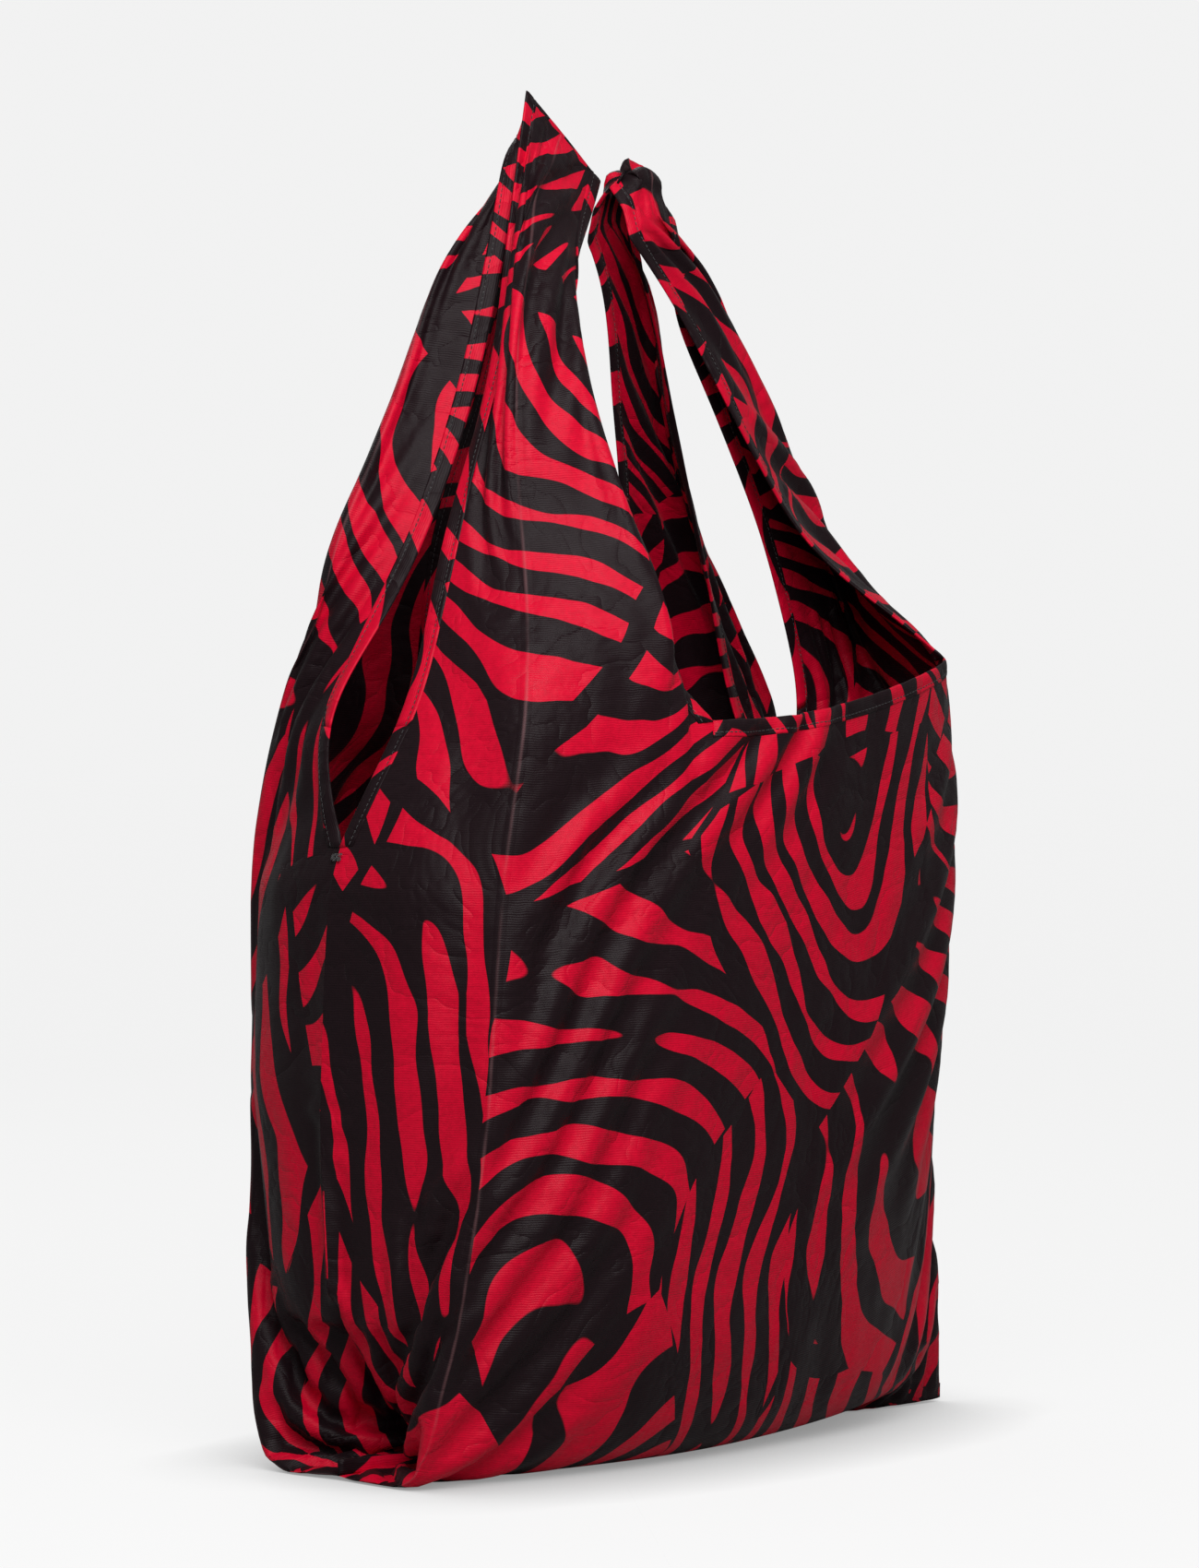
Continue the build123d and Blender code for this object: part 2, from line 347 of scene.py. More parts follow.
# What fills the bag: half widths at a few heights, as a rounded block that is wider in the middle
FILL_Z = np.array([0.0, 0.03, 0.09, 0.18, 0.27, 0.34])
FILL_HALF_X = [0.165, 0.178, 0.184, 0.186, 0.182, 0.160]
FILL_HALF_Y = [0.036, 0.062, 0.088, 0.104, 0.102, 0.080]
FILL_POWER = 3.2
FILL_LOW = 0.003
FILL_HIGH = 0.335
LEAST_SIZE = 0.05
LONGEST_PUSH = 0.002


def stuffing_push(x, size):
    """Moves cloth out of the filling. size is 0 for cloth that the filling doesn't touch."""
    z = np.clip(x[:, 2], 0, FILL_Z[-1])
    half_x = np.interp(z, FILL_Z, FILL_HALF_X) * np.maximum(size, LEAST_SIZE)
    half_y = np.interp(z, FILL_Z, FILL_HALF_Y) * np.maximum(size, LEAST_SIZE)
    power = FILL_POWER
    u, w = np.abs(x[:, 0]) / half_x, np.abs(x[:, 1]) / half_y
    f = (u**power + w**power) ** (1 / power)
    inside = (f < 1) & (x[:, 2] < FILL_HIGH) & (x[:, 2] > FILL_LOW) & (size > LEAST_SIZE)
    gx = np.sign(x[:, 0]) * u ** (power - 1) / half_x
    gy = np.sign(x[:, 1]) * w ** (power - 1) / half_y
    norm = gx**2 + gy**2 + SMALL
    step = np.where(inside, (1 - f) * f ** (power - 1), 0) / norm
    scale = np.minimum(1, LONGEST_PUSH / (np.hypot(step * gx, step * gy) + SMALL))
    x[:, 0] += step * gx * scale
    x[:, 1] += step * gy * scale


# The right gusset and the low corners of the left one are tucked in, away from the filling
TUCK_MARGIN = 0.004
TUCK_V = 0.12
TUCK_FADE = 0.05
FREE_RIM = 0.01
# How strongly the cloth is drawn to its first layout, at a few heights on the pattern
HOLD_V = [0, 0.02, 0.05, 0.28, 0.36, MOUTH_V, 0.43, 0.47]
HOLD = [0.5, 0.3, 0.06, 0.04, 0.05, 0.15, 0.06, 0.03]
SETTLE_STEPS = 450
TIME_STEP = 1 / 500
ROUNDS = 2
GRAVITY = 9.81
DRAG = 0.97
TOP_SPEED = 1.5
FLOOR_CLEARANCE = 0.0012


def filled_share():
    """How far the filling reaches at each vertex, from 0 where the cloth is tucked in to 1."""
    tuck = np.zeros(COUNT)
    tuck[vertex_s > HALF_FACE + TUCK_MARGIN] = 1
    low_left = (vertex_s < -HALF_FACE - TUCK_MARGIN) & (vertex_v < TUCK_V)
    tuck[low_left] = np.clip((TUCK_V - vertex_v[low_left]) / TUCK_FADE, 0, 1)
    size = np.where(tuck > 0, 1 - tuck, 1.0)
    size[vertex_v > MOUTH_V - FREE_RIM] = 0
    return size


def settle(x, total_steps):
    """Lets the cloth settle on its filling and the floor, with the handle tops held."""
    pairs, rest, kind = collect_pairs()
    stiff = STIFFNESS[kind]
    batches = [(pairs[b, 0], pairs[b, 1], rest[b], stiff[b]) for b in colour_batches(pairs)]
    top = np.nonzero(fixed)[0]
    mass = np.ones(COUNT)
    mass[top] = 0
    pinned = x[top].copy()
    size = filled_share()
    hold = np.interp(vertex_v, HOLD_V, HOLD)
    home = x.copy()
    h = TIME_STEP
    velocity = np.zeros_like(x)
    for _ in range(total_steps):
        velocity[:, 2] -= GRAVITY * h
        velocity *= DRAG
        before = x.copy()
        x = x + velocity * h * (mass > 0)[:, None]
        for _ in range(ROUNDS):
            for i, j, length, k in batches:
                d = x[j] - x[i]
                gap = np.sqrt((d * d).sum(1)) + TINY
                w = mass[i] + mass[j] + SMALL
                shift = d * (k * (gap - length) / gap / w)[:, None]
                x[i] += shift * mass[i][:, None]
                x[j] -= shift * mass[j][:, None]
        stuffing_push(x, size)
        x += (home - x) * hold[:, None]
        x[:, 2] = np.maximum(x[:, 2], FLOOR_CLEARANCE)
        x[top] = pinned
        velocity = (x - before) / h
        speed = np.linalg.norm(velocity, axis=1)
        velocity *= np.minimum(1, TOP_SPEED / (speed + SMALL))[:, None]
    return x


# Hems are stiff: they do not ripple along a strap, and the cloth beside them follows
HEM_PASSES = 20
HEM_REACH = 0.022
FAR_SHARE = 0.15
HEM_START = 0.01
HEM_FADE = 0.02
EDGE_MARGIN = 0.001


def smooth_hems(cloth):
    """Evens the straps' rows with their neighbours, most of all beside the hems."""
    s, v = abs(pattern[1:-1, :, 0]), pattern[1:-1, :, 1]
    off_edge = np.minimum(s - neck_edge(v), arm_edge(v) - s)
    near = FAR_SHARE + (1 - FAR_SHARE) * np.clip(1 - off_edge / HEM_REACH, 0, 1)
    near *= np.clip((v - ARMHOLE_V - HEM_START) / HEM_FADE, 0, 1)
    near *= exists[1:-1] * exists[2:] * exists[:-2]
    beside_mouth = (v < MOUTH_V + CELL / 2) & (s < neck_edge(v) + EDGE_MARGIN)
    near[beside_mouth] = 0
    for _ in range(HEM_PASSES):
        for side in (0, 1):
            grid = cloth[index[side]]
            even = (grid[:-2] + 2 * grid[1:-1] + grid[2:]) / 4
            share = np.where(fixed[index[side][1:-1]], 0, near)
            moved = grid[1:-1] + (even - grid[1:-1]) * share[..., None]
            cloth[index[side][1:-1][exists[1:-1]]] = moved[exists[1:-1]]


cloth = settle(start.copy(), SETTLE_STEPS)
smooth_hems(cloth)

# ---- The settled cloth on a grid twice as fine, with its normals
FINE_LOW = 2 * LOW_ROWS
FINE_ROOT = 2 * ROOT_ROW
FINE_ROWS = 2 * ROWS
FINE_NECK = 2 * NECK_COL
FINE_COLS = 2 * COLS


def with_midpoints(grid):
    """A grid with a smooth midpoint between each two rows. Places off the cloth hold NaN."""
    out = np.full((2 * len(grid) - 1,) + grid.shape[1:], np.nan)
    out[::2] = grid
    middle = (grid[:-1] + grid[1:]) / 2
    bulge = (grid[1:-2] + grid[2:-1]) / 16 - (grid[:-3] + grid[3:]) / 16
    middle[1:-1] += np.nan_to_num(bulge)
    out[1::2] = middle
    return out


def finer(grid):
    """A grid with midpoints both ways."""
    return with_midpoints(with_midpoints(grid).swapaxes(0, 1)).swapaxes(0, 1)


def slopes(grid, axis):
    """Central differences along an axis, one-sided beside an edge of the cloth."""
    ahead = np.full_like(grid, np.nan)
    behind = np.full_like(grid, np.nan)
    to, back = [slice(None)] * 3, [slice(None)] * 3
    to[axis], back[axis] = slice(1, None), slice(None, -1)
    step = grid[tuple(to)] - grid[tuple(back)]
    ahead[tuple(back)] = step
    behind[tuple(to)] = step
    return np.nan_to_num(ahead) + np.nan_to_num(behind)


def unit(vectors):
    """Vectors scaled to length one."""
    return vectors / (np.linalg.norm(vectors, axis=-1, keepdims=True) + TINY)


flat_fine = finer(np.where(exists[..., None], pattern, np.nan))
surface, outward = [], []
for side in (0, 1):
    coarse = np.where(exists[..., None], cloth[index[side]], np.nan)
    surface.append(finer(coarse))
for seam in (np.s_[:FINE_LOW + 1, 0], np.s_[:FINE_LOW + 1, -1], np.s_[0, :], np.s_[-1, :]):
    shared_line = (surface[0][seam] + surface[1][seam]) / 2
    surface[0][seam] = shared_line
    surface[1][seam] = shared_line
for side in (0, 1):
    across, up = slopes(surface[side], 1), slopes(surface[side], 0)
    outward.append(unit(np.cross(across, up)) * (1, -1)[side])

# ---- Mesh helpers
BACK_SHIFT = 3.3
CLOTH_THICKNESS = 0.0004
HEM_WIDTH = 0.008
STRIP_DEPTH = 5


def linked(name, data):
    """A new object in the scene."""
    thing = bpy.data.objects.new(name, data)
    bpy.context.scene.collection.objects.link(thing)
    return thing


def new_piece(name, points, faces, uvs, material, normals=None):
    """A smooth-shaded object. uvs holds one pair for each point, and normals one direction."""
    mesh = bpy.data.meshes.new(name)
    mesh.from_pydata(np.asarray(points).tolist(), [], [list(map(int, f)) for f in faces])
    layer = mesh.uv_layers.new(name="pattern")
    corners = np.zeros(len(mesh.loops), np.int32)
    mesh.loops.foreach_get("vertex_index", corners)
    layer.data.foreach_set("uv", np.asarray(uvs, np.float32)[corners].ravel())
    mesh.polygons.foreach_set("use_smooth", [True] * len(mesh.polygons))
    mesh.materials.append(material)
    mesh.update()
    if normals is not None:
        mesh.normals_split_custom_set_from_vertices(np.asarray(normals).tolist())
    return linked(name, mesh)


def grid_faces(rows, columns):
    """Four-sided faces between points that are numbered row by row."""
    faces = []
    for r in range(rows - 1):
        for c in range(columns - 1):
            k = r * columns + c
            faces.append((k, k + 1, k + columns + 1, k + columns))
    return faces


def tube_faces(rings, k, first=0):
    """Faces of a closed tube through rings of k points, numbered ring by ring."""
    faces = []
    for i in range(rings - 1):
        for j in range(k):
            m = (j + 1) % k
            faces.append((i * k + j, i * k + m, (i + 1) * k + m, (i + 1) * k + j))
    faces.append(tuple(range(k))[::-1])
    faces.append(tuple((rings - 1) * k + j for j in range(k)))
    return [tuple(first + i for i in face) for face in faces]


def both_faces(faces, count):
    """The given faces, the same ones turned over on the other side, and a rim between them."""
    edges = {}
    for ring in faces:
        for a, b in zip(ring, np.roll(ring, -1).tolist()):
            edges[a, b] = True
    rims = [(b, a, a + count, b + count) for a, b in edges if (b, a) not in edges]
    inner = [[i + count for i in ring[::-1]] for ring in faces]
    return list(faces) + inner + rims


def closed_sheet(points, normals, faces, uvs, thickness):
    """Points, faces and uvs of a sheet with two faces and a rim."""
    both = np.concatenate([points + normals * thickness / 2, points - normals * thickness / 2])
    return both, both_faces(faces, len(points)), np.concatenate([uvs, uvs])


def cloth_piece(name, side, rows, cols, material):
    """A closed sheet: the part of a panel between two rows and two columns of the fine grid."""
    r, c = np.meshgrid(np.arange(*rows), np.arange(*cols), indexing="ij")
    ring = np.stack([np.stack([r, r, r + 1, r + 1]), np.stack([c, c + 1, c + 1, c])])
    there = ~np.isnan(surface[side][..., 0])
    whole = there[ring[0], ring[1]].all(0)
    width = surface[side].shape[1]
    corner_ids = (ring[0] * width + ring[1])[:, whole].T
    used, local = np.unique(corner_ids, return_inverse=True)
    faces = local.reshape(-1, 4)
    if side == 1:
        faces = faces[:, ::-1]
    points, normals = (grids[side].reshape(-1, 3)[used] for grids in (surface, outward))
    uvs = flat_fine.reshape(-1, 2)[used] + (side * BACK_SHIFT, 0)
    flat = flat_fine.reshape(-1, 2)[corner_ids]
    a, b = flat[:, 2] - flat[:, 0], flat[:, 3] - flat[:, 1]
    area = abs(a[:, 0] * b[:, 1] - a[:, 1] * b[:, 0]).sum() / 2
    mesh = closed_sheet(points, normals, faces.tolist(), uvs, CLOTH_THICKNESS)
    return new_piece(name, *mesh, material, np.concatenate([normals, -normals])), float(area)


def strip_along(side, edge):
    """Points and normals from an edge inwards, for each place along it: two arrays (n, k, 3)."""
    kind, first, last = edge
    inwards = np.arange(STRIP_DEPTH)
    if kind == "mouth":
        pick = np.ix_(FINE_ROOT - inwards, np.arange(first, last + 1))
        return surface[side][pick].swapaxes(0, 1), outward[side][pick].swapaxes(0, 1)
    columns = {
        "left_arm": inwards,
        "right_arm": FINE_COLS - inwards,
        "left_neck": FINE_NECK - inwards,
        "right_neck": FINE_COLS - FINE_NECK + inwards,
    }[kind]
    pick = np.ix_(np.arange(first, last + 1), columns)
    return surface[side][pick], outward[side][pick]


def at_depth(line, normals, depth):
    """Places at a distance inwards along the cloth from its edge, and their normals."""
    steps_in = np.linalg.norm(np.diff(line, axis=1), axis=2)
    reach = np.concatenate([np.zeros((len(line), 1)), np.cumsum(steps_in, axis=1)], axis=1)
    if depth < 0:
        back = unit(line[:, 0] - line[:, 1])
        return line[:, 0] - back * depth, normals[:, 0]
    k = np.clip((reach <= depth).sum(1) - 1, 0, reach.shape[1] - 2)
    i = np.arange(len(line))
    t = ((depth - reach[i, k]) / (reach[i, k + 1] - reach[i, k] + TINY))[:, None]
    place = line[i, k] * (1 - t) + line[i, k + 1] * t
    return place, unit(normals[i, k] * (1 - t) + normals[i, k + 1] * t)


def along_lengths(points):
    """Distance along a line of points, from its start to each of them."""
    return np.concatenate([[0], np.cumsum(np.linalg.norm(np.diff(points, axis=0), axis=1))])


# A hem's section, millimetres: depth from the edge and height off the cloth, outer side only.
# It dips along the line of stitches.
STITCH_DEPTH = 5.6
STITCH_DIP = 0.45
HEM_SECTION = [
    (-0.7, 0.0), (-0.45, 0.45), (0.4, 0.85), (2.4, 0.95), (4.5, 0.8), (STITCH_DEPTH, STITCH_DIP),
    (6.6, 0.75), (7.5, 0.6), (8.0, 0.2),
]
HEM_PRINT_STEP = 0.31


def hem_mesh(line, normals, shift):
    """A folded hem round an edge: points, faces and uvs of a closed band."""
    section = HEM_SECTION + [(d, -h) for d, h in HEM_SECTION[:0:-1]]
    loops = []
    for depth, height in section:
        place, normal = at_depth(line, normals, depth / MM)
        loops.append(place + normal * height / MM)
    rings = np.array(loops).swapaxes(0, 1)
    n, k = rings.shape[:2]
    along = along_lengths(line[:, 0])
    uvs = np.zeros((n, k, 2))
    uvs[..., 0] = along[:, None] + shift
    uvs[..., 1] = np.array([d for d, _ in section])[None] / MM + HEM_PRINT_STEP * shift
    return rings.reshape(-1, 3), tube_faces(n, k), uvs.reshape(-1, 2)


STITCH_PITCH = 0.0027
STITCH_LENGTH = 0.0020
STITCH_WIDTH = 0.00042
STITCH_HEIGHT = 0.00035
STITCH_SUNK = 0.7
# Share of a stitch's length and of its height
STITCH_PROFILE = ((0.0, 0.0), (0.25, 1.0), (0.75, 1.0), (1.0, 0.0))


def on_line(at, along, line):
    """The value at a distance along a line."""
    return np.array([np.interp(at, along, line[:, i]) for i in range(3)])


def stitches_on(places, normals):
    """Short raised bars, one for each stitch, along a line of places."""
    along = along_lengths(places)
    points, faces = [], []
    for n in range(int(along[-1] / STITCH_PITCH)):
        centre = (n + 0.5) * STITCH_PITCH
        ends = [on_line(centre + end * STITCH_LENGTH, along, places) for end in (-0.5, 0.5)]
        normal = unit(on_line(centre, along, normals))
        forward = unit(ends[1] - ends[0])
        sideways = np.cross(normal, forward) * STITCH_WIDTH / 2
        lift = normal * STITCH_HEIGHT
        faces += tube_faces(len(STITCH_PROFILE), 3, len(points))
        for share, rise in STITCH_PROFILE:
            middle = ends[0] * (1 - share) + ends[1] * share + lift * rise
            points += [middle - sideways, middle + sideways, middle - lift * STITCH_SUNK]
    return np.array(points), faces


def joined(parts):
    """One set of points, faces and uvs from several."""
    points, faces, uvs = [], [], []
    count = 0
    for part_points, part_faces, part_uvs in parts:
        points.append(part_points)
        uvs.append(part_uvs)
        faces += [tuple(i + count for i in face) for face in part_faces]
        count += len(part_points)
    return np.concatenate(points), faces, np.concatenate(uvs)


# ---- Materials
RED = (0.59, 0.001, 0.024, 1)
BLACK = (0.0105, 0.0044, 0.0060, 1)
# the pale tint of the pressed folds is a painted highlight
CREASE_HIGHLIGHT_TINT = (0.30, 0.14, 0.15, 1)
THREAD_BLACKS = ((0.006, 0.005, 0.006, 1), (0.028, 0.024, 0.027, 1))
RIBBON_WHITES = ((0.80, 0.79, 0.75, 1), (0.90, 0.89, 0.86, 1))
TURN = 2 * math.pi

# The print: cells of bent stripes that run in rings
PRINT_SEED = 11.9
CELLS_PER_METRE = 9.2
CELL_STRETCH = (1, 0.62, 1)
RING_OFFSET = (0.42, 0.16, 0)
RING_STRETCH = (1, 1.35, 0)
STRIPES_PER_METRE = (36.0, 58.0)
STRIPE_DRIFT = 3.0
STRIPE_SWELL = (-0.75, 1.15)
OUTLINE_WIDTH = 0.052
PRINT_EDGE = 0.035

# The cloth: yarns in metres, creases as (depth in metres, strength) of a bump
RIB_PITCH = 0.00105
RIB_WAVER = 7.0
YARN_PITCH = 0.0006
YARN_SHARE = 0.5
TONE = (0.86, 1.1)
WEAVE_TONE = 0.02
CREASE_HALF_WIDTH = (0.0002, 0.0011)
# how strongly the painted highlight tints the pressed folds, at most
CREASE_HIGHLIGHT_SHARE = 0.26
RIDGE_HALF_WIDTH = 0.003
SLACK_BUMP = (0.016, 0.5)
HANDLED_BUMP = (0.0025, 0.40)
RIDGE_BUMP = (0.0009, 0.6)
WEAVE_BUMP = (0.00012, 0.35)
CLOTH_ROUGHNESS = (0.34, 0.48)
THREAD_ROUGHNESS = (0.6, 0.85)
RIBBON_ROUGHNESS = (0.4, 0.55)
TWIST_BUMP = (0.0001, 0.7)
RIBBON_BUMP = (0.0001, 0.4)


class Nodes:
    """Short ways to add and join the nodes of one material."""

    def __init__(self, name):
        self.material = bpy.data.materials.new(name)
        self.material.use_nodes = True
        self.tree = self.material.node_tree
        self.shader = self.tree.nodes["Principled BSDF"]

    def plug(self, socket, value):
        if isinstance(value, bpy.types.NodeSocket):
            self.tree.links.new(value, socket)
        else:
            socket.default_value = value

    def add(self, kind, inputs=(), **settings):
        node = self.tree.nodes.new(kind)
        for key, value in settings.items():
            setattr(node, key, value)
        for socket, value in dict(inputs).items():
            self.plug(node.inputs[socket], value)
        return node

    def math(self, operation, *values):
        return self.add("ShaderNodeMath", dict(enumerate(values)), operation=operation).outputs[0]

    def sine(self, value, turn):
        return self.math("SINE", self.math("MULTIPLY", value, turn))

    def vector(self, operation, *values):
        node = self.add("ShaderNodeVectorMath", dict(enumerate(values)), operation=operation)
        return node.outputs["Value" if operation == "LENGTH" else "Vector"]

    def noise(self, at, scale, detail=0.0, shift=0.0, output="Fac"):
        spot = self.vector("ADD", at, (shift, shift, 0))
        inputs = {"Vector": spot, "Scale": scale, "Detail": detail}
        return self.add("ShaderNodeTexNoise", inputs).outputs[output]

    def remap(self, value, low, high, to_low=0.0, to_high=1.0):
        inputs = {0: value, 1: low, 2: high, 3: to_low, 4: to_high}
        return self.add("ShaderNodeMapRange", inputs).outputs[0]

    def mix(self, factor, first, second, blend="MIX"):
        inputs = {0: factor, 6: first, 7: second}
        return self.add("ShaderNodeMix", inputs, data_type="RGBA", blend_type=blend).outputs[2]

    def bump(self, height, distance, strength, normal=None):
        inputs = {"Height": height, "Distance": distance, "Strength": strength}
        if normal:
            inputs["Normal"] = normal
        return self.add("ShaderNodeBump", inputs).outputs[0]

    def set(self, **values):
        for name, value in values.items():
            self.plug(self.shader.inputs[name.replace("_", " ")], value)


def shifted(nodes, at, amount, scale, seed):
    """Coordinates pushed about by smooth noise, by up to amount metres."""
    push = nodes.noise(at, scale, shift=seed, output="Color")
    centred = nodes.vector("SUBTRACT", push, (0.5, 0.5, 0.5))
    away = nodes.vector("MULTIPLY", centred, (2 * amount, 2 * amount, 0))
    return nodes.vector("ADD", at, away)


def zebra(nodes, at, seed):
    """Above 0 where the print is black. Stripes run in rings in each cell."""
    bent = shifted(nodes, at, 0.060, 6.0, seed)
    bent = shifted(nodes, bent, 0.0030, 30.0, seed + 5)
    spot = nodes.vector("ADD", bent, (seed, 0, 0))
    spot = nodes.vector("MULTIPLY", spot, CELL_STRETCH)
    inputs = {"Vector": spot, "Scale": CELLS_PER_METRE, "Randomness": 1.0}
    flat = {"voronoi_dimensions": "2D"}
    cells = nodes.add("ShaderNodeTexVoronoi", inputs, feature="F1", **flat)
    edge = nodes.add("ShaderNodeTexVoronoi", inputs, feature="DISTANCE_TO_EDGE", **flat)
    chance = nodes.add("ShaderNodeSeparateColor", {0: cells.outputs["Color"]})
    offset = nodes.vector("SUBTRACT", cells.outputs["Color"], (0.5, 0.5, 0.5))
    offset = nodes.vector("MULTIPLY", offset, RING_OFFSET)
    ring_centre = nodes.vector("ADD", cells.outputs["Position"], offset)
    apart = nodes.vector("SUBTRACT", spot, ring_centre)
    radius = nodes.vector("LENGTH", nodes.vector("MULTIPLY", apart, RING_STRETCH))
    drift = nodes.noise(at, 8.0, shift=seed + 3)
    per_metre = nodes.remap(chance.outputs["Green"], 0, 1, *STRIPES_PER_METRE)
    turns = nodes.math("MULTIPLY", radius, per_metre)
    turns = nodes.math("ADD", turns, nodes.math("MULTIPLY", drift, STRIPE_DRIFT))
    turns = nodes.math("ADD", turns, chance.outputs["Blue"])
    wave = nodes.sine(turns, TURN)
    swell = nodes.remap(nodes.noise(at, 17.0, detail=1.0, shift=seed + 7), 0.3, 0.7, *STRIPE_SWELL)
    stripes = nodes.math("ADD", wave, swell)
    # some cells are outlined, others end where their neighbour's stripes begin
    outline = nodes.remap(nodes.noise(at, 11.0, shift=seed + 11), 0.42, 0.62, 0.0, OUTLINE_WIDTH)
    seam = nodes.math("LESS_THAN", edge.outputs["Distance"], outline)
    return nodes.math("ADD", stripes, nodes.math("MULTIPLY", seam, 3.0))


def printed_cloth():
    """Satin polyester with a zebra-like print, a rib, soft creases and pressed folds tinted pale by a
    painted highlight.
    """
    nodes = Nodes("printed_cloth")
    uv = nodes.add("ShaderNodeUVMap", uv_map="pattern").outputs[0]
    split = nodes.add("ShaderNodeSeparateXYZ", {0: uv})
    u, v = split.outputs[0], split.outputs[1]
    black = nodes.remap(zebra(nodes, uv, PRINT_SEED), -PRINT_EDGE, PRINT_EDGE)
    colour = nodes.mix(black, RED, BLACK)
    # yarns: a rib across the cloth and finer yarns on the bias
    waver = nodes.noise(uv, 160.0, detail=1.0, shift=2.0)
    rib = nodes.math("MULTIPLY", v, TURN / RIB_PITCH)
    rib = nodes.math("SINE", nodes.math("ADD", rib, nodes.math("MULTIPLY", waver, RIB_WAVER)))
    yarn = nodes.sine(nodes.math("ADD", u, v), TURN / YARN_PITCH)
    weave = nodes.math("ADD", rib, nodes.math("MULTIPLY", yarn, YARN_SHARE))
    # the print's colour is a little uneven from yarn to yarn
    tone = nodes.remap(nodes.noise(uv, 420.0, detail=2.0, shift=4.0), 0.2, 0.8, *TONE)
    tone = nodes.math("ADD", tone, nodes.math("MULTIPLY", weave, WEAVE_TONE))
    grey = nodes.add("ShaderNodeCombineColor", {0: tone, 1: tone, 2: tone}).outputs[0]
    colour = nodes.mix(1.0, colour, grey, blend="MULTIPLY")
    # pressed folds up the line between face and gusset, on the front and on the back; a painted highlight
    # tints them pale, stronger in some patches than others
    middle = nodes.math("ABSOLUTE", nodes.math("WRAP", u, BACK_SHIFT / 2, -BACK_SHIFT / 2))
    off_fold = nodes.math("ABSOLUTE", nodes.math("SUBTRACT", middle, HALF_FACE))
    fold = nodes.remap(off_fold, *CREASE_HALF_WIDTH, 1.0, 0.0)
    highlight_share = nodes.remap(nodes.noise(uv, 24.0, detail=3.0, shift=6.0), 0.35, 0.65, 0.0, CREASE_HIGHLIGHT_SHARE)
    colour = nodes.mix(nodes.math("MULTIPLY", fold, highlight_share), colour, CREASE_HIGHLIGHT_TINT)
    ridge = nodes.remap(off_fold, 0.0, RIDGE_HALF_WIDTH, 1.0, 0.0)
    # soft handling creases, sharper where the noise folds over
    handled = nodes.noise(shifted(nodes, uv, 0.03, 14.0, 8.0), 26.0, detail=3.0, shift=9.0)
    handled = nodes.math("ABSOLUTE", nodes.math("SUBTRACT", handled, 0.5))
    handled = nodes.math("POWER", nodes.remap(handled, 0.0, 0.22), 0.6)
    # broad slack, longer up the cloth than across it
    slack = nodes.vector("MULTIPLY", uv, (1.9, 0.7, 1))
    slack = nodes.noise(shifted(nodes, slack, 0.04, 8.0, 13.0), 9.0, detail=2.0, shift=14.0)
    normal = nodes.bump(slack, *SLACK_BUMP)
    normal = nodes.bump(handled, *HANDLED_BUMP, normal)
    normal = nodes.bump(ridge, *RIDGE_BUMP, normal)
    normal = nodes.bump(weave, *WEAVE_BUMP, normal)
    shine = nodes.noise(uv, 60.0, detail=3.0, shift=12.0)
    roughness = nodes.remap(shine, 0.25, 0.75, *CLOTH_ROUGHNESS)
    nodes.set(Base_Color=colour, Normal=normal, Roughness=roughness)
    nodes.set(Specular_IOR_Level=0.12, Sheen_Weight=0.02, Sheen_Roughness=0.4)
    return nodes.material


def sewing_thread():
    """Matte black thread with a twist."""
    nodes = Nodes("sewing_thread")
    place = nodes.add("ShaderNodeTexCoord").outputs["Object"]
    inputs = {"Vector": place, "Scale": 900.0, "Distortion": 2.0}
    twist = nodes.add("ShaderNodeTexWave", inputs, bands_direction="DIAGONAL").outputs["Fac"]
    tone = nodes.noise(place, 300.0, detail=2.0)
    roughness = nodes.remap(tone, 0.3, 0.7, *THREAD_ROUGHNESS)
    nodes.set(Base_Color=nodes.mix(tone, *THREAD_BLACKS), Roughness=roughness)
    nodes.set(Normal=nodes.bump(twist, *TWIST_BUMP), Sheen_Weight=0.2)
    return nodes.material


def label_ribbon():
    """White satin ribbon with a fine weave, left blank."""
    nodes = Nodes("label_ribbon")
    uv = nodes.add("ShaderNodeUVMap", uv_map="pattern").outputs[0]
    inputs = {"Vector": uv, "Scale": 600.0}
    weave = nodes.add("ShaderNodeTexWave", inputs, bands_direction="Y").outputs["Fac"]
    tone = nodes.noise(uv, 120.0, detail=3.0)
    roughness = nodes.remap(tone, 0.3, 0.7, *RIBBON_ROUGHNESS)
    nodes.set(Base_Color=nodes.mix(tone, *RIBBON_WHITES), Roughness=roughness)
    nodes.set(Normal=nodes.bump(weave, *RIBBON_BUMP))
    return nodes.material


CLOTH = printed_cloth()
THREAD = sewing_thread()
RIBBON = label_ribbon()

# ---- Pieces
PANELS = ("front", "back")
HANDLES = ("left", "right")

# Where in the print each small piece is cut
STRAP_HEM_CUT = 5.1
STRAP_HEM_NEXT = 0.9
ARM_HEM_CUT = 0.4
MOUTH_HEM_CUT = 9.3
ARMHOLE_HEM_CUT = 12.1
SIDE_SEAM_CUT = 14.0
BOTTOM_SEAM_CUT = 15.0
TOP_SEAM_CUT = 16.0
POCKET_CUT = 18.0
POCKET_HEM_CUT = 20.0

# Seam allowances, and their waves as (length over a turn's radians, height) pairs
SEAM_WIDTH = HEM_WIDTH * 0.9
TOP_SEAM_WIDTH = HEM_WIDTH * 0.8
FIN_THICKNESS = 3 * CLOTH_THICKNESS
FIN_LEVELS = np.linspace(0, 1, 4)
FIN_WAVES = ((0.021, 0.0011), (0.0083, 0.0004))
FIN_ENDS = 2
BOTTOM_ENDS = 6
NEVER_ZERO = 1e-6


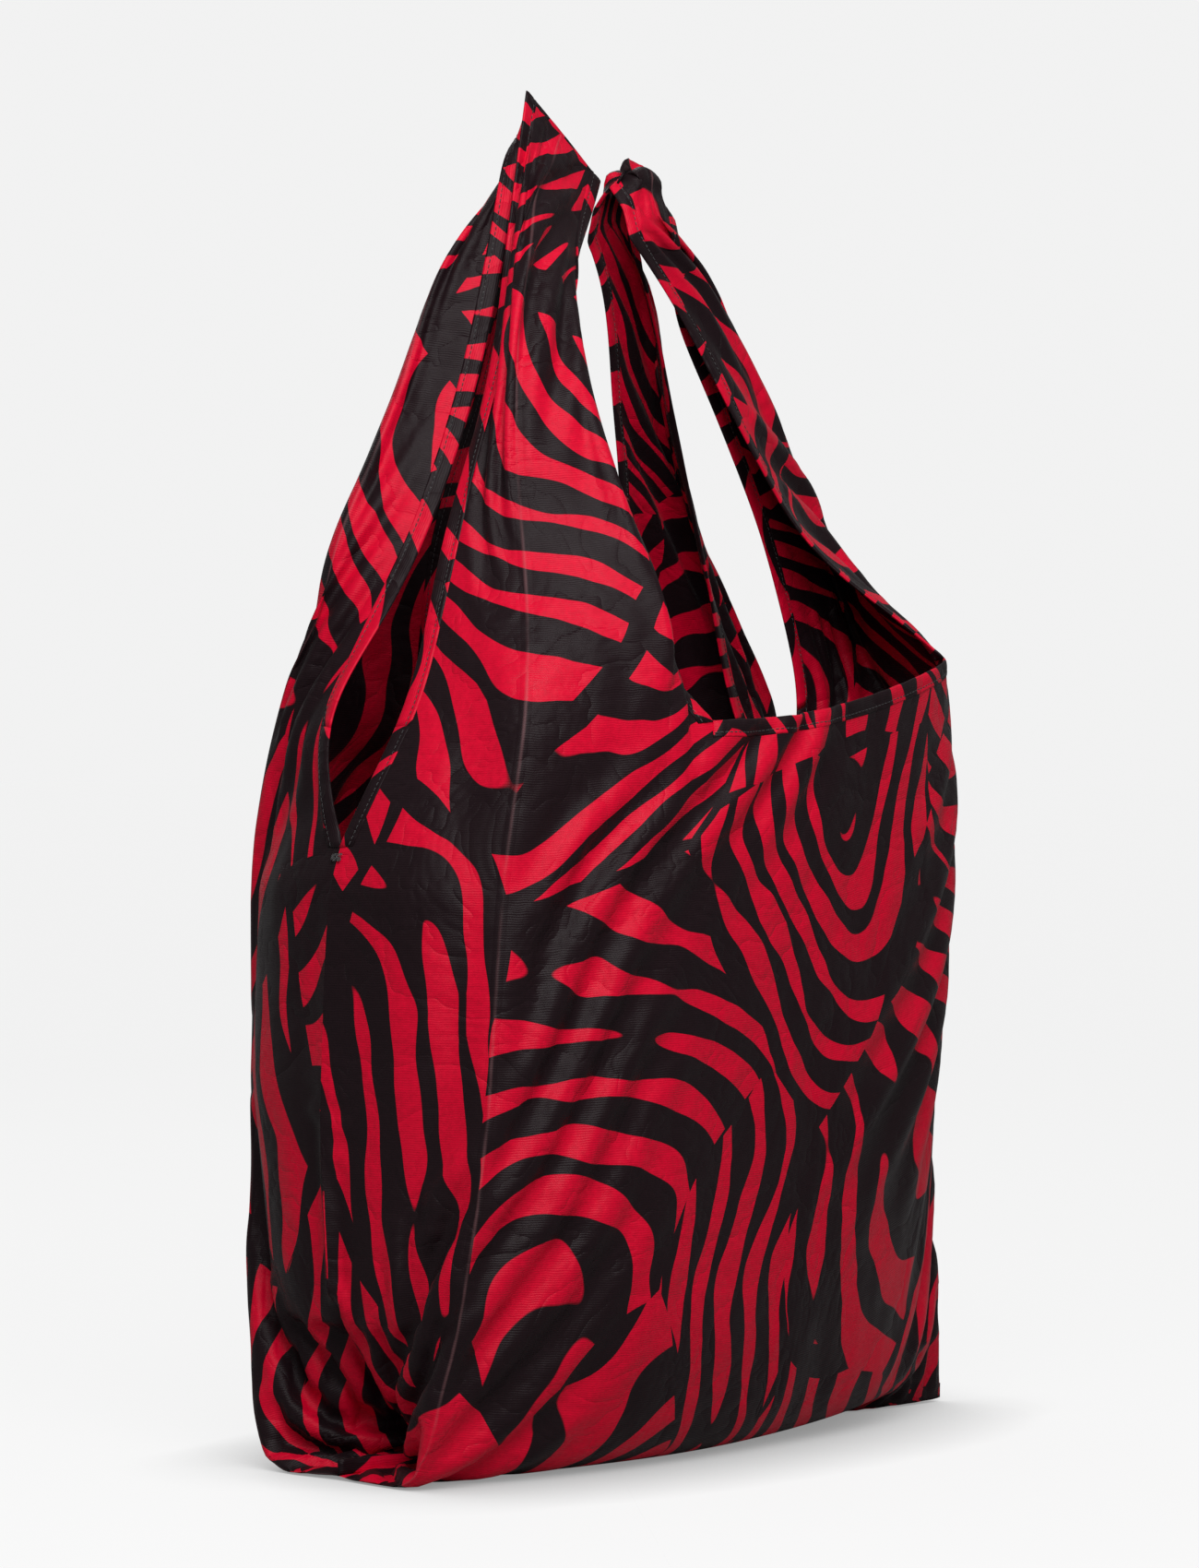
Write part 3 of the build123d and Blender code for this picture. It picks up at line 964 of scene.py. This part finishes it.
def attach(piece, body, node=None):
    """A piece on the root body rides on it. One on a handle only gets its place baked into its points."""
    if body == "root":
        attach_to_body(piece, body)
    else:
        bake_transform(piece)
    if node:
        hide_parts(node)


def sewn_hem(node, parts, body, shift):
    """A hem and its stitches, over one or more stretches of edge, as (side, edge) pairs."""
    bands, bars = [], []
    for side, edge in parts:
        line, normals = strip_along(side, edge)
        bands.append(hem_mesh(line, normals, shift + side))
        place, normal = at_depth(line, normals, STITCH_DEPTH / MM)
        for face in (1, -1):
            points, faces = stitches_on(place + normal * face * STITCH_DIP / MM, normal * face)
            bars.append((points, faces, points[:, :2]))
    band = new_piece(f"{node}_band", *joined(bands), CLOTH)
    thread = new_piece(f"{node}_stitches", *joined(bars), THREAD)
    attach(band, body, node=node)
    attach(thread, body)
    return [band, thread]


def fin(node, places, inward, width, body, shift):
    """A seam allowance that stands off the cloth along a line, with a soft wave."""
    along = along_lengths(places)
    tangent = unit(np.gradient(places, axis=0))
    normal = unit(np.cross(tangent, inward))
    wave = sum(np.sin(along / length) * height for length, height in FIN_WAVES)
    grid = np.array([places + inward * width * t + normal * (wave * t * t)[:, None] for t in FIN_LEVELS])
    rows, columns = grid.shape[:2]
    normals = np.tile(normal, (rows, 1))
    u, v = np.tile(along, rows), np.repeat(FIN_LEVELS * width, columns)
    uvs = np.stack([u + shift, v + shift], axis=1)
    mesh = closed_sheet(grid.reshape(-1, 3), normals, grid_faces(rows, columns), uvs, FIN_THICKNESS)
    attach(new_piece(f"{node}_fin", *mesh, CLOTH), body, node=node)


panel_pieces, strap_pieces, hems_of = {}, {}, {}
for side, panel in enumerate(PANELS):
    piece, area = cloth_piece(f"{panel}_panel_cloth", side, (0, FINE_ROOT), (0, FINE_COLS), CLOTH)
    attach(piece, "root", node=f"{panel}_panel")
    panel_pieces[panel] = (piece, area)
    for handle, cols in (("left", (0, FINE_NECK)), ("right", (FINE_COLS - FINE_NECK, FINE_COLS))):
        name = f"{handle}_{panel}_strap"
        body = f"{handle}_handle"
        piece, area = cloth_piece(f"{name}_cloth", side, (FINE_ROOT, FINE_ROWS), cols, CLOTH)
        attach(piece, body, node=name)
        strap_pieces[handle, panel] = (piece, area)
        neck = (side, (f"{handle}_neck", FINE_ROOT, FINE_ROWS))
        arm = (side, (f"{handle}_arm", FINE_ROOT, FINE_ROWS))
        cut = STRAP_HEM_CUT + STRAP_HEM_NEXT * len(hems_of)
        neck_hem = sewn_hem(f"{handle}_{panel}_neck_hem", [neck], body, cut)
        arm_hem = sewn_hem(f"{handle}_{panel}_armhole_edge_hem", [arm], body, cut + ARM_HEM_CUT)
        hems_of[handle, panel] = neck_hem + arm_hem
    mouth = (side, ("mouth", FINE_NECK, FINE_COLS - FINE_NECK))
    hems_of[panel] = sewn_hem(f"{panel}_mouth_hem", [mouth], "root", MOUTH_HEM_CUT + side)

for handle in HANDLES:
    edge = (f"{handle}_arm", FINE_LOW, FINE_ROOT)
    sewn_hem(f"{handle}_armhole_hem", [(0, edge), (1, edge)], "root", ARMHOLE_HEM_CUT)

# Seam allowances stand inwards
for name, col in (("left", 0), ("right", -1)):
    rows = slice(FIN_ENDS, FINE_LOW + 1 - FIN_ENDS)
    inward = -unit(outward[0][rows, col] + outward[1][rows, col] + NEVER_ZERO)
    fin(f"{name}_side_seam", surface[0][rows, col], inward, SEAM_WIDTH, "root", SIDE_SEAM_CUT)
places = surface[0][0, BOTTOM_ENDS:-BOTTOM_ENDS]
upwards = np.tile((0.0, 0.0, 1.0), (len(places), 1))
fin("bottom_seam", places, upwards, SEAM_WIDTH, "root", BOTTOM_SEAM_CUT)
for handle, first in (("left", 0), ("right", FINE_COLS - FINE_NECK)):
    cols = slice(first + FIN_ENDS, first + FINE_NECK + 1 - FIN_ENDS)
    places = surface[0][-1, cols]
    below = (surface[0][-3, cols] + surface[1][-3, cols]) / 2
    downwards = unit(below - places)
    fin(f"{handle}_handle_top_seam", places, downwards, TOP_SEAM_WIDTH, f"{handle}_handle", TOP_SEAM_CUT)

# Bar tacks: a dense zigzag of thread across the side seam, under the armhole
TACK_TURNS = 12
TACK_SIZE = 0.0035
TACK_LIFT = 0.0012
TACK_ROW = FINE_LOW - 1
for handle, col, inner in (("left", 0, 1), ("right", -1, -2)):
    corner = surface[0][TACK_ROW, col]
    down = unit(surface[0][TACK_ROW - 2, col] - corner)
    out = unit(outward[0][TACK_ROW, col] + outward[1][TACK_ROW, col] + NEVER_ZERO)
    places = []
    for turn in range(TACK_TURNS + 1):
        side = turn % 2
        step = TACK_SIZE * turn / TACK_TURNS
        across = unit(surface[side][TACK_ROW, inner] - surface[side][TACK_ROW, col]) * TACK_SIZE
        places.append(corner + across + down * step + out * TACK_LIFT)
    points, faces = stitches_on(np.array(places), np.tile(out, (len(places), 1)))
    tack = new_piece(f"{handle}_armhole_bar_tack_thread", points, faces, points[:, :2], THREAD)
    attach(tack, "root", f"{handle}_armhole_bar_tack")

# Stow pocket: a flat pouch that hangs inside the back panel from its mouth hem
POCKET_HALF = 0.060
POCKET_DEPTH = 0.130
POCKET_TOP = MOUTH_V - 0.005
POCKET_COLS = 31
POCKET_ROWS = 33
POCKET_BACK_GAP = 0.0022
POCKET_FRONT_GAP = 0.0030
POCKET_PUFF = 0.0035
PUFF_AT_FOOT = 0.12
PUFF_ACROSS = 0.5
PUFF_UP = 0.6
POCKET_HEM_V = POCKET_TOP - 0.004
POCKET_HEM_GAP = 0.0016
HEM_LINES = 3
pocket_s = np.linspace(-POCKET_HALF, POCKET_HALF, POCKET_COLS)
pocket_v = np.linspace(POCKET_TOP - POCKET_DEPTH, POCKET_TOP, POCKET_ROWS)


def on_back(s, v):
    """Place on the back panel at a pattern coordinate, and the direction into the bag."""
    row = np.interp(v, flat_fine[:FINE_ROOT + 1, FINE_COLS // 2, 1], np.arange(FINE_ROOT + 1))
    col = np.interp(s, flat_fine[int(round(row)), :, 0], np.arange(FINE_COLS + 1))
    r, c = min(int(row), FINE_ROOT - 1), min(int(col), FINE_COLS - 1)
    a, b = row - r, col - c
    corners = surface[1][r:r + 2, c:c + 2]
    low, high = corners[:, 0] * (1 - b) + corners[:, 1] * b
    return low * (1 - a) + high * a, -outward[1][r, c]


back_points, front_points, uvs = [], [], []
for v in pocket_v:
    for s in pocket_s:
        place, inside = on_back(s, v)
        across, down = s / POCKET_HALF, (POCKET_TOP - v) / POCKET_DEPTH
        rise = min(1, PUFF_AT_FOOT + (1 - PUFF_AT_FOOT) * (1 - down))
        puff = max(0, 1 - across**2) ** PUFF_ACROSS * math.sin(math.pi * rise) ** PUFF_UP
        back_points.append(place + inside * POCKET_BACK_GAP)
        front_points.append(place + inside * (POCKET_FRONT_GAP + POCKET_PUFF * puff))
        uvs.append((s + POCKET_CUT, v))
faces = both_faces(grid_faces(POCKET_ROWS, POCKET_COLS), len(back_points))
pocket = new_piece("stow_pocket_cloth", back_points + front_points, faces, uvs + uvs, CLOTH)
attach(pocket, "root", node="stow_pocket")

pocket_edge = np.array(back_points).reshape(POCKET_ROWS, POCKET_COLS, 3)[::-1][:HEM_LINES].swapaxes(0, 1)
inside_normal = np.array([on_back(s, POCKET_HEM_V)[1] for s in pocket_s])
pocket_edge = pocket_edge + inside_normal[:, None] * POCKET_HEM_GAP
edge_normals = np.repeat(inside_normal[:, None], HEM_LINES, axis=1)
hem = new_piece("stow_pocket_hem_band", *hem_mesh(pocket_edge, edge_normals, POCKET_HEM_CUT), CLOTH)
attach(hem, "root", node="stow_pocket_hem")

# Care label: a blank ribbon caught in the left side seam, inside
LABEL_V = 0.128
LABEL_SIZE = 0.030
LABEL_STEPS = 9
LABEL_GAP = 0.003
LABEL_DROOP = 0.003
LABEL_CURL = 2.4
into_bag = np.array([1.0, 0.0, 0.0])


def on_left_seam(v):
    """Place on the left side seam at a height on the pattern."""
    heights = flat_fine[:FINE_LOW + 1, 0, 1]
    return on_line(v, heights, surface[0][:FINE_LOW + 1, 0])


points, uvs = [], []
for t in np.linspace(0, 1, LABEL_STEPS):
    droop = np.array([0, LABEL_DROOP * math.sin(LABEL_CURL * t), -LABEL_DROOP * t * t])
    for w in np.linspace(-0.5, 0.5, LABEL_STEPS):
        root = on_left_seam(LABEL_V + w * LABEL_SIZE)
        points.append(root + into_bag * (LABEL_GAP + LABEL_SIZE * t) + droop)
        uvs.append((t * LABEL_SIZE, w * LABEL_SIZE))
normals = np.tile(unit(np.cross(into_bag, (0, 0, 1.0))), (len(points), 1))
faces = grid_faces(LABEL_STEPS, LABEL_STEPS)
mesh = closed_sheet(np.array(points), normals, faces, np.array(uvs), CLOTH_THICKNESS)
label = new_piece("care_label_ribbon", *mesh, RIBBON)
attach(label, "root", "care_label")

# Every sheet of cloth, with the size it was cut to, is gone over here and nothing is done with it. Its
# area is the pattern's.
for panel in PANELS:
    piece, area = panel_pieces[panel]
    for handle in HANDLES:
        strap, area = strap_pieces[handle, panel]

# ---- Camera, floor, light
VIEW_AZIMUTH = -49.5
CAMERA_HEIGHT = 0.335
CAMERA_DISTANCE = 2.3
SCALE_AT_AXIS = 2240.0
IMAGE_HEIGHT = 1700
HORIZON_ROW = 806
SENSOR = 24
FAR_CLIP = 100
FLOOR_HALF = 30

# The floor is self-lit for the camera, less so close to the bag: ambient occlusion dims its glow there
# into a painted contact shadow
BACKDROP = 0.886
FLOOR_GLOW = 0.848
CONTACT_SHADOW_GLOW = 0.25
CONTACT_REACH = 0.07
FLOOR_SEEN = ((0.088, 0.088, 0.088, 1), (0.092, 0.092, 0.092, 1))
FLOOR_BOUNCE = (0.40, 0.40, 0.40, 1)
AMBIENT = 0.28
LIT_PLACE = (0, 0, 0.45)


def around(azimuth, distance, height):
    """A place round the bag. Azimuth 0 lies towards -Y, and 90 towards +X."""
    turn = math.radians(azimuth)
    return Vector((math.sin(turn) * distance, -math.cos(turn) * distance, height))


camera_data = bpy.data.cameras.new("camera")
camera = linked("camera", camera_data)
bpy.context.scene.camera = camera
camera.location = around(VIEW_AZIMUTH, CAMERA_DISTANCE, CAMERA_HEIGHT)
camera.rotation_euler = (math.radians(90), 0, math.radians(VIEW_AZIMUTH))
camera_data.sensor_fit = "VERTICAL"
camera_data.sensor_height = SENSOR
camera_data.lens = SENSOR * SCALE_AT_AXIS * CAMERA_DISTANCE / IMAGE_HEIGHT
camera_data.shift_y = -(IMAGE_HEIGHT / 2 - HORIZON_ROW) / IMAGE_HEIGHT
camera_data.clip_end = FAR_CLIP

corners = [(FLOOR_HALF * x, FLOOR_HALF * y, 0) for x, y in ((-1, -1), (1, -1), (1, 1), (-1, 1))]
floor_mesh = bpy.data.meshes.new("floor")
floor_mesh.from_pydata(corners, [], [(0, 1, 2, 3)])
floor = linked("floor", floor_mesh)
ground = Nodes("floor")
grain = ground.noise(ground.add("ShaderNodeTexCoord").outputs["Object"], 3.0)
seen = ground.add("ShaderNodeLightPath").outputs["Is Camera Ray"]
pale = ground.mix(grain, *FLOOR_SEEN)
# painted contact shadow: the floor's glow drops where ambient occlusion finds the bag close by
unshadowed = ground.add("ShaderNodeAmbientOcclusion", {"Distance": CONTACT_REACH}).outputs["AO"]
glow = ground.remap(unshadowed, 0, 1, CONTACT_SHADOW_GLOW, FLOOR_GLOW)
ground.set(Base_Color=ground.mix(seen, FLOOR_BOUNCE, pale), Roughness=0.9, Specular_IOR_Level=0.1)
ground.set(Emission_Color=(1, 1, 1, 1), Emission_Strength=ground.math("MULTIPLY", seen, glow))
floor_mesh.materials.append(ground.material)

world = bpy.data.worlds.new("world")
bpy.context.scene.world = world
world.use_nodes = True
sky = world.node_tree
path = sky.nodes.new("ShaderNodeLightPath")
strength = sky.nodes.new("ShaderNodeMapRange")
strength.inputs[3].default_value = AMBIENT
strength.inputs[4].default_value = BACKDROP
sky.links.new(path.outputs["Is Camera Ray"], strength.inputs[0])
sky.nodes["Background"].inputs[0].default_value = (1, 1, 1, 1)
sky.links.new(strength.outputs[0], sky.nodes["Background"].inputs[1])


def soft_box(name, azimuth, distance, height, size, power):
    """A square soft box that looks at the bag."""
    data = bpy.data.lights.new(name, "AREA")
    data.energy = power
    data.size = size
    lamp = linked(name, data)
    lamp.location = around(azimuth, distance, height)
    away = lamp.location - Vector(LIT_PLACE)
    lamp.rotation_euler = away.to_track_quat("Z", "Y").to_euler()
    lamp.visible_camera = False


soft_box("key", azimuth=-42, distance=1.0, height=1.15, size=0.9, power=18.0)
soft_box("back", azimuth=150, distance=1.6, height=1.6, size=1.2, power=6.0)
bpy.context.scene.view_settings.view_transform = "Standard"
